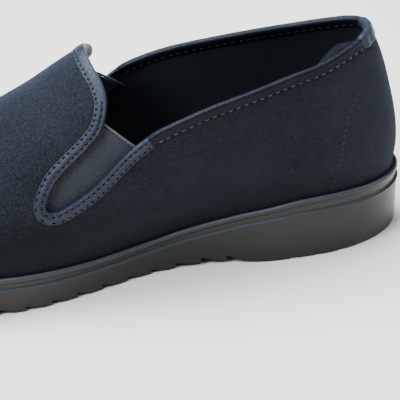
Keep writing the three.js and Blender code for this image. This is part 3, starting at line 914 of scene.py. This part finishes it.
makeTrim("collarBand", *collarSpan, "collar", "collar_binding")
makeTrim("tongueBand", *tongueSpan, "tongue", "tongue_binding")
for side, label in sides.items():
    first, final = gussetSpans[side]
    makeTrim(label + "GussetTape", first + tapeGap, final - tapeGap, "tongue", "gusset_tape_" + label)
makeJoin()
print("trims laid")


def stitchTemplate():
    # one stitch: a short rounded thread, made once and copied
    deselectAll()
    bpy.ops.mesh.primitive_uv_sphere_add(segments=6, ring_count=5, radius=1)
    template = bpy.context.object
    shape = np.array([v.co for v in template.data.vertices])
    faces = [tuple(f.vertices) for f in template.data.polygons]
    bpy.data.objects.remove(template)
    shape[:, 2] = np.sign(shape[:, 2]) * np.abs(shape[:, 2]) ** 0.7
    return shape, faces


stitchShape, stitchFaces = stitchTemplate()


def stitchRow(name, spots, kind, slot):
    # spots: centre, direction and outward normal of each stitch, in millimetres
    points, faces = [], []
    size = stitches[kind]
    for centre, way, out in spots:
        side = unit(np.cross(out, way))
        axes = np.stack([side * size["radius"], out * size["radius"], way * size["length"] / 2])
        faces += [tuple(i + len(points) for i in f) for f in stitchFaces]
        points.extend(stitchShape @ axes + centre)
    mesh = bpy.data.meshes.new(name)
    mesh.from_pydata([tuple(p) for p in toScene(points)], [], faces)
    piece = newObject(name, mesh)
    dress(piece, size["thread"], slot)
    smoothShade(piece, 80)


def edgeStitches(first, final, down, lift, kind, onPucker=0):
    # stitches beside the edge, between the puckers or, with onPucker 0.5, in them
    perStep = pathStep / stitches[kind]["pitch"]
    spots = []
    for count in range(math.ceil(first * perStep + 0.2), math.floor(final * perStep - 0.2)):
        step = (count + 0.5 - onPucker) / perStep
        behind, centre, ahead = [pathSpot(step + past, down, lift) for past in (-0.6, 0, 0.6)]
        spots.append((centre, unit(ahead - behind), nearCloth(centre)[1]))
    return spots


def lineStitches(line, side, kind):
    # stitches along a line drawn in the side view, laid on the cloth
    row = splineThrough(line, 12)
    places = placesAlong(row, np.arange(0, lengthsAlong(row)[-1], stitches[kind]["pitch"] / 2))
    beside = [clothBeside(x, z, side) for x, z in places]
    return [(centre + out * stitchLift, unit(after - before), out)
            for (before, _), (centre, out), (after, _) in zip(beside[:-2:2], beside[1:-1:2], beside[2::2])]


def clothBeside(x, z, side):
    # the cloth straight beside a place in the side view, with its normal
    start = Vector(toScene((x, 120 * side, z)))
    hit = clothTree.ray_cast(start, Vector((0, -side, 0)))[0]
    return nearCloth(fromScene(hit))


# the heel counter's edge inside the cloth, sewn through: x and height
counterLine = [(27, 80), (31, 76), (34, 72), (35.7, 67.5), (38.5, 56.5), (40.4, 47), (42, 38), (43.3, 32.5)]
nearRowLess = {"inner": (0, 3), "outer": (2, 0)}  # stitches left out at the near row's two ends

stitchRow("collarStitches", edgeStitches(*collarSpan, 3.9, 0.36, "collar"), "collar", "binding")
stitchRow("liningStitches", edgeStitches(*collarSpan, 3.2, -2.2, "lining"), "lining", "binding")
stitchRow("tongueStitches", edgeStitches(*tongueSpan, 3.9, 0.12, "tape", 0.5), "tape", "binding")
for side, label in sides.items():
    first, final = gussetSpans[side]
    farRow = edgeStitches(first, final, 3.9, 0.2, "tape", 0.5)
    nearRow = edgeStitches(first, final, 1.08, 0.2, "tape", 0.5)
    nearRow = nearRow[nearRowLess[label][0]:len(nearRow) - nearRowLess[label][1]]
    stitchRow(label + "GussetFarStitches", farRow, "tape", "tape")
    stitchRow(label + "GussetNearStitches", nearRow, "tape", "tape")
    stitchRow(label + "CounterStitches", lineStitches(counterLine, side, "counter"), "counter", "cloth")
print("stitches sewn")


# The elastic panels behind the gussets

elastic = {
    # both ends of the top edge on each side: x and height
    "rear": {1: (132.3, 68.8), -1: (132.3, 74.6)}, "front": {1: (154.3, 88.9), -1: (154.3, 90.9)},
    "underlap": 5.8, "inset": 2.7, "thick": 1.2, "past": 5, "deep": 66, "step": 0.9,
}
hem = {"past": {1: 3, -1: 6}, "pastFront": 3, "wide": 1.15, "rise": 0.35, "taper": 3, "thin": 0.15,
       "gap": 0.25, "step": 0.8, "sides": 12}


def elasticTop(side):
    # the top edge's rear end, direction and length, in the side view
    rear, front = np.array(elastic["rear"][side]), np.array(elastic["front"][side])
    return rear, unit(front - rear), np.linalg.norm(front - rear)


def elasticPoint(side, along, down, inset):
    rear, way, _ = elasticTop(side)
    place = rear + way * along + np.array([way[1], -way[0]]) * down
    base, normal = clothBeside(place[0], place[1], side)
    return base - normal * inset


def makeElastic(side, label):
    width = elasticTop(side)[2]
    columns = np.arange(-elastic["past"], width + elastic["past"], elastic["step"])
    rows = np.arange(hem["wide"] + hem["gap"], elastic["deep"], elastic["step"])
    points = np.array([[elasticPoint(side, a, d, elastic["inset"]) for a in columns] for d in rows])
    piece = gridPiece(label + "Elastic", points, closed=False)
    cutAway(piece, lambda places: elastic["underlap"] - edgeDistance(places))
    if sum(f.normal.y for f in piece.data.polygons) * side < 0:
        piece.data.flip_normals()
    applyModifier(piece, "SOLIDIFY", thickness=elastic["thick"] * mm, offset=-1)
    dress(piece, "elastic", "elastic", "gusset_elastic_" + label)
    smoothShade(piece, 50)


def makeHem(side, label):
    # the elastic's rolled top edge, thinner at both ends
    width, past, half = elasticTop(side)[2], hem["past"][side], hem["wide"] / 2
    middle = elastic["inset"] + elastic["thick"] / 2 - hem["rise"]
    turns = np.linspace(0, 2 * math.pi, hem["sides"], endpoint=False)
    rings = []
    for a in np.arange(-past, width + hem["pastFront"], hem["step"]):
        ends = float(smoothStep(a, -past - 1, -past + hem["taper"]) * (1 - smoothStep(a, width, width + 4)))
        radius = hem["thin"] + (half - hem["thin"]) * ends
        rings.append([elasticPoint(side, a, half + radius * math.cos(turn), middle - radius * math.sin(turn))
                      for turn in turns])
    piece = solidPiece(label + "ElasticHem", np.array(rings))
    dress(piece, "hem", "elastic")
    smoothShade(piece)


for side, label in sides.items():
    makeElastic(side, label)
    makeHem(side, label)
print("elastics fitted")


# The moulded sole

def placeOut(i, part, past, height):
    # a share of the way from the middle to the foot line moved outwards; the height may follow x
    foot = skin[i, -1] * (1, 1, 0)
    ahead = skin[(i + 1) % len(ribs), -1] - skin[i - 1, -1]
    out = unit(np.array([-ahead[1], ahead[0], 0]))
    place = spines[i] + (foot + out * past - spines[i]) * part
    return place[0], place[1], height(place[0]) if callable(height) else height


def bedAt(x):
    return rimAt(x) - sole["bedDepth"]


# the small step's rounded ledge: past the wall's face, above the step line
ledgeRound = [(-0.1, 0), (0.2, -0.16), (0.3, -0.42), (0.22, -0.7), (0, -1)]


def soleRing(i):
    inner = sole["seatGap"]
    beadX, beadZ = sole["beadWidth"] / 2, sole["beadHeight"] / 2
    bandOut = inner + sole["beadWidth"] - sole["bandInset"]
    wallOut = bandOut + sole["ledge"]
    bottomOut = wallOut - sole["wallFlare"] - sole["edgeBevel"]
    edgeX = placeOut(i, 1, 0, 0)[0]
    rim = rimAt(edgeX)
    step = rim - stepBelow(edgeX)
    top, low = step - 1, liftAt(edgeX) + sole["edgeBevel"]
    outside = [(inner + beadX * (1 + math.cos(angle)), rim - beadZ * (1 - math.sin(angle)))
               for angle in np.radians(np.linspace(150, -75, 12))]
    outside += [(bandOut, rim - 2 * beadZ), (bandOut, (rim - 2 * beadZ + step) / 2),
                (bandOut, step + 0.25), (bandOut + 0.15, step + 0.06)]
    outside += [(wallOut + past, step + above) for past, above in ledgeRound]
    outside += [(wallOut - sole["wallFlare"] * share, top + (low - top) * share)
                for share in (0.06, 0.3, 0.6, 0.88, 1)]
    return [
        *[placeOut(i, part, inner, bedAt) for part in (0, 0.25, 0.5, 0.75, 0.92, 1)],
        *[placeOut(i, 1, past, height) for past, height in outside],
        *[placeOut(i, part, bottomOut, liftAt) for part in (1, 0.97, 0.75, 0.5, 0.25, 0)],
    ]


tread = {
    # first and last x and depth at the sides, under the forefoot and under the heel
    "rows": [(92.7, 260, 2.9), (37.5, 74.3, 1.5)],
    "pitch": 12.3, "deep": 1.1, "sideReach": 6, "toeReach": 1.8, "heelReach": 7.5,
    "halfLength": 90, "foot": -4, "fade": 0.02,
}


def soleHalfWidth(x, side):
    # the foot line's distance from the middle, along one side of the sole
    edgeOfSide = np.array([skin[i, -1] for i in range(len(ribs)) if ribs[i][0] == side])
    order = np.argsort(edgeOfSide[:, 0])
    return float(np.interp(x, edgeOfSide[order, 0], np.abs(edgeOfSide[order, 1])))


def treadBars():
    # x, low y, high y and depth of each cut: across the sole, then deeper at the inner and outer side
    across, inner, outer = [], [], []
    for first, limit, sideDeep in tread["rows"]:
        for x in np.arange(first, limit, tread["pitch"]):
            half = tread["halfLength"]
            across.append((x, -half, half, tread["deep"]))
            inner.append((x, soleHalfWidth(x, 1) - tread["sideReach"], half + 1, sideDeep))
            outer.append((x, -half - 1, tread["sideReach"] - soleHalfWidth(x, -1), sideDeep))
    return across, inner, outer


def makeTreadCutter(bars):
    # saw-toothed bars, steep at the toe end and fading towards the heel, joined into one cutter
    pieces = []
    for x, low, high, deep in bars:
        fore, aft = x + tread["toeReach"], x - tread["heelReach"]
        tops = float(liftAt(fore)) + deep, float(liftAt(aft)) + tread["fade"]
        bpy.ops.mesh.primitive_cube_add(size=1)
        pieces.append(bpy.context.object)
        for v in pieces[-1].data.vertices:
            front = v.co.x > 0
            height = (tops[0] if front else tops[1]) if v.co.z > 0 else tread["foot"]
            v.co = toScene((fore if front else aft, high if v.co.y > 0 else low, height))
    makeActive(pieces[0])
    for bar in pieces:
        bar.select_set(True)
    bpy.ops.object.join()
    return pieces[0]


def makeOutsole():
    rings = np.array([soleRing(i) for i in range(len(ribs))])
    piece = gridPiece("mouldedSole", closedRound(rings))
    for bars in treadBars():
        cutter = makeTreadCutter(bars)
        applyModifier(piece, "BOOLEAN", object=cutter, operation="DIFFERENCE", solver="EXACT")
        bpy.data.objects.remove(cutter)
    dress(piece, "rubber", "sole_rubber", "outsole")
    smoothShade(piece, 35)
    print("sole:", len(piece.data.polygons), "faces")


makeOutsole()


# The sock on the sole's bed

sock = {"thick": 3.2, "clear": 2.2, "crown": 0.6, "lift": 0.3, "edgeRound": 1.2}


def sockRing(i):
    clear, corner = -sock["clear"], sock["edgeRound"]
    # share of the way out, place past it, height over the sock's underside
    rows = [(part, clear, sock["thick"] + sock["crown"] * (1 - part ** 2))
            for part in (0, 0.25, 0.5, 0.75, 0.9)]
    rows += [(1, clear - corner + corner * math.cos(angle), sock["thick"] - corner * (1 - math.sin(angle)))
             for angle in np.radians((90, 60, 30, 0))]
    rows += [(part, clear, 0) for part in (1, 0.75, 0.5, 0.25, 0)]
    return [placeOut(i, part, past, lambda x: bedAt(x) + sock["lift"] + above) for part, past, above in rows]


def makeSock():
    piece = gridPiece("sock", closedRound(np.array([sockRing(i) for i in range(len(ribs))])))
    dress(piece, "sock", "lining", "insole")
    smoothShade(piece)


makeSock()


# The pad sewn into the heel, over the lining

heelPad = {
    "thick": 2, "round": 2.6, "foot": 36, "ribWidth": 1.9, "step": 0.25, "rows": 34, "gather": 1.6,
    "clear": 0.05, "seam": 3.2, "seamDip": 0.35, "seamWide": 0.5, "seamRibs": 15, "threadLift": 0.1,
    # rib and height of the top edge
    "top": [
        (0, 92), (8, 90.7), (12, 88.2), (14, 86.2), (15.5, 82), (17, 76.9), (18.5, 66),
        (19.2, 50), (19.6, 37),
    ],
}
padTop = smoothCurve([row[0] for row in heelPad["top"]], [row[1] for row in heelPad["top"]])
padOutline = np.array([(rib * heelPad["ribWidth"], height) for rib, height in heelPad["top"]])


def padSpot(rib, height, depth):
    # a place inside the heel, depth millimetres in from the cloth; the rib may be a fraction
    low = math.floor(rib)
    share = rib - low
    column = skin[low % len(ribs)] * (1 - share) + skin[(low + 1) % len(ribs)] * share
    facing = normals[low % len(ribs)] * (1 - share) + normals[(low + 1) % len(ribs)] * share
    at = np.interp(-height, -column[:, 2], np.arange(len(column)))
    k = min(int(at), len(column) - 2)
    base = column[k] + (column[k + 1] - column[k]) * (at - k)
    return base - unit(facing[k] + (facing[k + 1] - facing[k]) * (at - k)) * depth


def padThickness(rib, height):
    past = lineDistance(np.array([[abs(rib) * heelPad["ribWidth"], height]]), padOutline)[0]
    share = min(past / heelPad["round"], 1)
    seam = heelPad["seamDip"] * math.exp(-((past - heelPad["seam"]) / heelPad["seamWide"]) ** 2)
    return heelPad["thick"] * math.sqrt(max(1 - (1 - share) ** 2, 0)) - seam + heelPad["clear"]


def makeHeelPad():
    wall = upperWall + heelPad["clear"]
    rings = []
    reachRib = heelPad["top"][-1][0]
    shares = np.linspace(0, 1, heelPad["rows"]) ** heelPad["gather"]
    for rib in np.arange(-reachRib, reachRib + 0.01, heelPad["step"]):
        heights = padTop(abs(rib)) - (padTop(abs(rib)) - heelPad["foot"]) * shares
        front = [padSpot(rib, h, wall + padThickness(rib, h)) for h in heights]
        back = [padSpot(rib, h, wall) for h in heights[::-3]]
        rings.append(front + back)
    piece = solidPiece("heelPad", np.array(rings))
    dress(piece, "pad", "lining")
    smoothShade(piece)
    # its seam, a little inside the edge
    row = []
    for rib in np.arange(-heelPad["seamRibs"], heelPad["seamRibs"] + 0.01, heelPad["step"]):
        height = float(padTop(abs(rib))) - heelPad["seam"]
        row.append(padSpot(rib, height, wall + padThickness(rib, height) + heelPad["threadLift"]))
    row = np.array(row)
    spots = []
    for a in np.arange(2, lengthsAlong(row)[-1] - 2, stitches["counter"]["pitch"]):
        behind, centre, ahead = placesAlong(row, np.array([a - 1, a, a + 1]))
        spots.append((centre, unit(ahead - behind), -nearCloth(centre)[1]))
    stitchRow("heelPadStitches", spots, "counter", "lining")


makeHeelPad()
print("sock and heel pad laid")


# Floor, light and camera

stage = {"size": 6, "colour": (0.74, 0.648, 0.562, 1), "roughness": 0.9,
         "sky": (0.85, 0.92, 1.0, 1), "skyStrength": 0.14}


def makeStage():
    deselectAll()
    bpy.ops.mesh.primitive_plane_add(size=stage["size"], location=(0, 0, 0))
    floor = bpy.context.object
    floor.name = "floor"
    material = bpy.data.materials.new("floorFinish")
    material.use_nodes = True
    shader = material.node_tree.nodes["Principled BSDF"]
    shader.inputs["Base Color"].default_value = stage["colour"]
    shader.inputs["Roughness"].default_value = stage["roughness"]
    floor.data.materials.append(material)
    world = bpy.data.worlds.new("studio")
    world.use_nodes = True
    background = world.node_tree.nodes["Background"]
    background.inputs["Color"].default_value = stage["sky"]
    background.inputs["Strength"].default_value = stage["skyStrength"]
    bpy.context.scene.world = world


lights = [  # name, place, aim, size, power, colour
    ("topLight", (0.3, -0.45, 1.45), (0.02, 0, 0.05), 1, 92, (0.8, 0.9, 1)),
    ("toeLight", (1, 0.5, 1.1), (0.12, 0, 0.06), 0.6, 35, (0.8, 0.9, 1)),
    ("frontLight", (0.15, 1, 1.5), (0.02, 0, 0.03), 0.35, 9, (0.75, 0.88, 1)),
    ("heelLight", (-1.3, 0.2, 0.8), (0, 0, 0.05), 0.8, 8, (0.85, 0.93, 1)),
]


def makeLights():
    for name, place, aim, size, power, colour in lights:
        data = bpy.data.lights.new(name, "AREA")
        data.shape, data.size, data.energy, data.color = "SQUARE", size, power, colour
        light = newObject(name, data)
        light.location = place
        light.rotation_euler = (Vector(aim) - Vector(place)).to_track_quat("-Z", "Y").to_euler()


camera = {"place": (0.1702, 0.5198, 0.3295), "turn": (1.0464, 0.020977, 2.89087), "lens": 112.86,
          "sensor": 36, "near": 0.01, "far": 20}


def makeCamera():
    data = bpy.data.cameras.new("photoCamera")
    data.lens, data.sensor_width, data.sensor_height = camera["lens"], camera["sensor"], camera["sensor"]
    data.clip_start, data.clip_end = camera["near"], camera["far"]
    view = newObject("photoCamera", data)
    view.location, view.rotation_euler = camera["place"], camera["turn"]
    bpy.context.scene.camera = view


makeStage()
makeLights()
makeCamera()
print("stage, lights and camera set")
